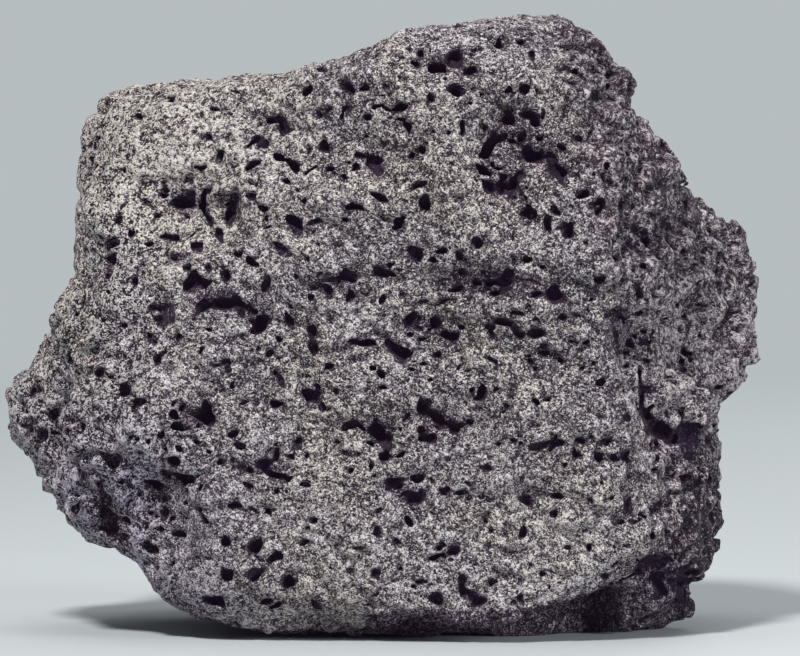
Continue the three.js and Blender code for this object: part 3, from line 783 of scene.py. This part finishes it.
def finishBasalt():
    n = Nodes("moonBasalt")
    place = n.add("ShaderNodeTexCoord", output=3)
    inMm = n.scaled(place, 1 / millimetre)

    def noise(scale, detail=2.0, rough=0.5, at=inMm, output=0):
        return n.add("ShaderNodeTexNoise", {"noise_dimensions": "3D"},
                     {"Vector": at, "Scale": scale, "Detail": detail, "Roughness": rough}, output)

    def cells(at, scale, output="Color"):
        return n.add("ShaderNodeTexVoronoi", {}, {"Vector": at, "Scale": scale}, output)

    def channel(colour, which):
        return n.add("ShaderNodeSeparateColor", {}, {"Color": colour}, which)

    def attribute(name):
        return n.add("ShaderNodeAttribute", {"attribute_name": name}, output=2)

    shake = n.vector("SUBTRACT", noise(1.1, 2, 0.6, output=1), (0.5, 0.5, 0.5))
    shaken = n.vector("ADD", inMm, n.scaled(shake, 0.5))

    # Crystals: two sizes of random cells, and laths that lie every way.
    fine = cells(shaken, 1 / basalt["grain"])
    coarse = cells(shaken, 1 / (basalt["grain"] * 2.6))
    laths = []
    for turn in ((0.3, 0.5, 0.2), (1.2, -0.4, 0.9), (-0.7, 1.9, 0.4)):
        at = n.add("ShaderNodeMapping", {"vector_type": "TEXTURE"},
                   {"Vector": inMm, "Rotation": turn, "Scale": (2.6, 0.55, 0.55)})
        laths.append(noise(1 / 0.5, 1.0, 0.5, at))
    lath = laths[0].larger(laths[1]).larger(laths[2])
    clumps = noise(1.0, 2, 0.6) - 0.5        # clumps of like crystals, 1 and 3 mm across
    clots = noise(0.34, 3, 0.6) - 0.5
    patches = noise(0.09, 3, 0.6) - 0.5      # and patches as broad as a thumb

    # Parts of the stone, each from 0 to 1.
    x, y, z = (n.add("ShaderNodeSeparateXYZ", {}, {0: inMm}, i) for i in range(3))
    highLeft = n.smooth(z, 66, 112) * n.smooth(x, 0, -52)
    lowLeft = n.smooth(z, 66, 30) * n.smooth(x, -20, -58) * n.smooth(y, 15, -25)
    right = n.smooth(x + z * 0.2 + patches * 12, 61, 69)
    highRight, lowRight = right * n.smooth(z, 66, 90), right * n.smooth(z, 46, 18)
    foot = n.smooth(z, 16, 8) * n.smooth(x, 42, 50)
    pit, hollow, holed, dented = (attribute(name) for name in ("pit", "hollow", "holed", "dented"))
    wornAndLitEdges = n.smooth(hollow, 0.47, 0.34)      # the edges that stand out, made lighter: partly wear, partly painted highlight
    flank = n.smooth(x + z * 0.1, 66, 73) * n.smooth(z, 54, 36)
    lowMiddle = n.smooth(z, 42, 24) * n.smooth(x, -36, -14) * n.smooth(x, 54, 44)
    lobes = n.smooth(x, -42, -60)
    besideRight = n.smooth(x, 0, 40) * n.smooth(z, 40, 60)
    parts = {
        "highLeft": highLeft, "lowLeft": lowLeft, "lowMiddle": lowMiddle, "right": right,
        "highRight": highRight, "lowRight": lowRight, "flank": flank, "foot": foot,
        "besideRight": besideRight, "wornAndLitEdges": wornAndLitEdges}
    ofFine, ofCoarse = basalt["crystals"]
    crystals = ((channel(fine, 0) - 0.5) * ofFine + (channel(coarse, 0) - 0.5) * ofCoarse) * (
        1 + lobes * 1.1 - right * 0.05 - highRight * 0.2)
    tone = (basalt["tone"] + crystals + (lath - 0.58) * (basalt["laths"] - right * 1.4)
            + clumps * (basalt["clumps"] + highLeft * 1.6 + lobes * 1.6 + right * 0.7)
            + clots * (basalt["clots"] + highLeft * 0.3 + lobes * 1.4 + right * 0.5)
            + patches * (basalt["patches"] - highLeft * 0.3))
    # Painted light and shade: each part of the stone is made lighter or darker where the light falls on
    # it or not.
    for name, paler in basalt["paler"].items():
        tone = tone + parts[name] * paler
    # Painted shade: darker in the holes (over their darker walls), in the hollows, around the holes, in
    # the dents and under the lip; in the stains between them the dark crystals outnumber the pale ones.
    ragged = (channel(fine, 1) - 0.5) * 0.8 + clumps * 1.6
    # painted shade in the holes, over their darker walls, by depth below the unbroken face
    inHole = n.smooth(pit + ragged, 0.15, 1.1)
    # painted shade where the surface is hollow
    sunken = n.smooth(hollow + ragged * 0.12, 0.50, 0.68)
    # painted shade around the holes
    shadeNearHoles = n.smooth(holed + ragged * 0.10, 0.02, 0.22)
    stained = n.smooth(noise(0.30, 4, 0.6), 0.52, 0.70)
    specked = n.smooth(noise(0.80, 3, 0.6), 0.57, 0.70)
    # painted shade in the dents and under the lip, darkest where they go deepest
    hollowed = n.smooth(dented + ragged * 0.5, 0.3, 1.6)
    deepest = n.smooth(dented + ragged * 0.5, 1.6, 3.2)
    darker = basalt["darker"]
    dark = (inHole * darker["inHole"] + shadeNearHoles * darker["shadeNearHoles"] + sunken * darker["sunken"]
            + hollowed * darker["hollowed"] + deepest * darker["deepest"]
            + stained.larger(specked) * (darker["stained"] + lobes * 0.09 + highLeft * 0.04))
    colour = n.add("ShaderNodeValToRGB", {"stops": basalt["grainColours"]}, {0: tone - dark})
    cool = n.smooth(noise(0.05, 2, 0.5) + lowLeft * 0.25 + right * 0.2 - highLeft * 0.25, 0.35, 0.65)
    tint = n.mixColour(cool, basalt["warm"], basalt["cool"])
    tint = n.mixColour((right * 0.5).larger(lowRight).larger(foot), tint, basalt["shadowed"])
    # painted shade tint low on the left and on the foot
    tint = n.mixColour(lowLeft.larger(foot * 0.6), tint, basalt["shadowBlue"])
    each = n.mixColour(n.smooth(channel(coarse, 2) + clots * 1.6, 0, 1), basalt["eachWarm"],
                       basalt["eachCool"])
    tint = n.mixColour(1.0, tint, each, "MULTIPLY")
    # purple tint of the painted shade and of the stains
    tint = n.mixColour(n.smooth(dark, 0.1, 0.45), tint, basalt["shadeAndStainTint"])
    colour = n.mixColour(1.0, colour, tint, "MULTIPLY")
    # darker still deep in the holes: painted shade, over darker walls
    colour = n.mixColour(n.smooth(pit, 0.8, 2.6) * 0.55, colour, basalt["inside"])

    # Pinholes too small to carve: dark spots of painted shade, also pressed in by the bump.
    pinCell = cells(n.vector("ADD", shaken, n.scaled(shake, 1.2)), 1 / 1.35, "Distance")
    pinhole = n.smooth(pinCell + ragged * 0.10, 0.24, 0.10) * n.smooth(noise(0.42, 2), 0.44, 0.56)
    colour = n.mixColour(pinhole * 0.85, colour, basalt["inside"])

    relief = tone * 0.5 - pinhole * 1.5 + (noise(2.4, 4, 0.65) * 0.8 + clumps * 1.2) * (1 + right * 0.8)
    bump = n.add("ShaderNodeBump", {},
                 {"Strength": 1.0, "Distance": basalt["relief"] * millimetre, "Height": relief})
    shine = 0.9 - channel(coarse, 1) * 0.15
    # The emission is a painted glow, a faint lift of every dark on the stone.
    shader = n.node("ShaderNodeBsdfPrincipled", {}, {
        "Base Color": colour, "Roughness": shine, "Normal": bump, "Specular IOR Level": 0.2,
        "Emission Color": (*basalt["paintedGlow"], 1), "Emission Strength": 1.0})
    output = n.node("ShaderNodeOutputMaterial")
    n.tree.links.new(shader.outputs[0], output.inputs[0])
    return n.material


rock.data.materials.clear()
rock.data.materials.append(finishBasalt())
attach(rock, "root")
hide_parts("moon_rock")
print("stone: finished")

# The floor, the backdrop and the lamps.
studio = {
    "floorRadius": 1700, "fade": (420, 1400),    # mm, where the floor melts into the backdrop
    "floor": (0.47, 0.505, 0.52),
    "backdrop": (0.47, 0.51, 0.525), "backdropRadius": 6000,
    "lampAim": (0, 0, 65),                       # mm, the middle of the stone
    "lamps": (                                   # name, place and size in mm, watts, colour
        ("key", (-350, -890, 1200), 240, 24, (1, 0.985, 0.96)),
        ("fill", (1250, -700, 450), 600, 13, (0.93, 0.96, 1)),
        ("top", (0, 200, 1300), 900, 4, (1, 1, 1)),
        ("back", (400, 1200, 700), 700, 6, (1, 1, 1))),
    "dusk": (0.62, 0.66, 0.7), "duskStrength": 0.25,   # the even light from all round
}


def makeFloor():
    # One round sheet of paper, plain all round, so that the stone can be looked at from every side.
    turns = np.linspace(0, 2 * math.pi, 97)[:-1]
    rim = np.stack([np.cos(turns), np.sin(turns), 0 * turns], -1) * studio["floorRadius"] * millimetre
    mesh = bpy.data.meshes.new("floor")
    mesh.from_pydata(rim.tolist(), [], [list(range(len(rim)))])
    floor = bpy.data.objects.new("floor", mesh)
    bpy.context.collection.objects.link(floor)
    n = Nodes("floorPaper")
    place = n.add("ShaderNodeTexCoord", output=3)
    away = n.add("ShaderNodeVectorMath", {"operation": "LENGTH"}, {0: place}, 1)
    near, far = studio["fade"]
    shader = n.node("ShaderNodeBsdfPrincipled", {}, {
        "Base Color": (*studio["floor"], 1), "Roughness": 0.9, "Specular IOR Level": 0.1,
        "Alpha": n.smooth(away, near * millimetre, far * millimetre, 1.0, 0.0)})
    output = n.node("ShaderNodeOutputMaterial")
    n.tree.links.new(shader.outputs[0], output.inputs[0])
    mesh.materials.append(n.material)


def makeBackdrop():
    # A plain tone behind the stone from every side; it is only seen, and neither lights nor shades.
    ball = bmesh.new()
    bmesh.ops.create_icosphere(ball, subdivisions=4, radius=studio["backdropRadius"] * millimetre)
    mesh = bpy.data.meshes.new("backdrop")
    ball.to_mesh(mesh)
    ball.free()
    backdrop = bpy.data.objects.new("backdrop", mesh)
    bpy.context.collection.objects.link(backdrop)
    n = Nodes("backdropPaper")
    glow = n.node("ShaderNodeEmission", {}, {"Color": (*studio["backdrop"], 1), "Strength": 1.0})
    output = n.node("ShaderNodeOutputMaterial")
    n.tree.links.new(glow.outputs[0], output.inputs[0])
    mesh.materials.append(n.material)
    for ray in ("diffuse", "glossy", "transmission", "volume_scatter", "shadow"):
        setattr(backdrop, "visible_" + ray, False)


def makeLamp(name, place, size, power, colour):
    data = bpy.data.lights.new(name, "AREA")
    data.shape = "DISK"
    data.size = size * millimetre
    data.energy = power
    data.color = colour
    lamp = bpy.data.objects.new(name, data)
    bpy.context.collection.objects.link(lamp)
    lamp.location = Vector(place) * millimetre
    towards = Vector(studio["lampAim"]) - Vector(place)
    lamp.rotation_euler = towards.to_track_quat("-Z", "Y").to_euler()


makeFloor()
makeBackdrop()
for lamp in studio["lamps"]:
    makeLamp(*lamp)
world = bpy.data.worlds.new("world")
world.use_nodes = True
sky = world.node_tree.nodes["Background"].inputs
sky["Color"].default_value = (*studio["dusk"], 1)
sky["Strength"].default_value = studio["duskStrength"]
bpy.context.scene.world = world
bpy.context.scene.view_settings.view_transform = "Standard"
print("studio: ready")
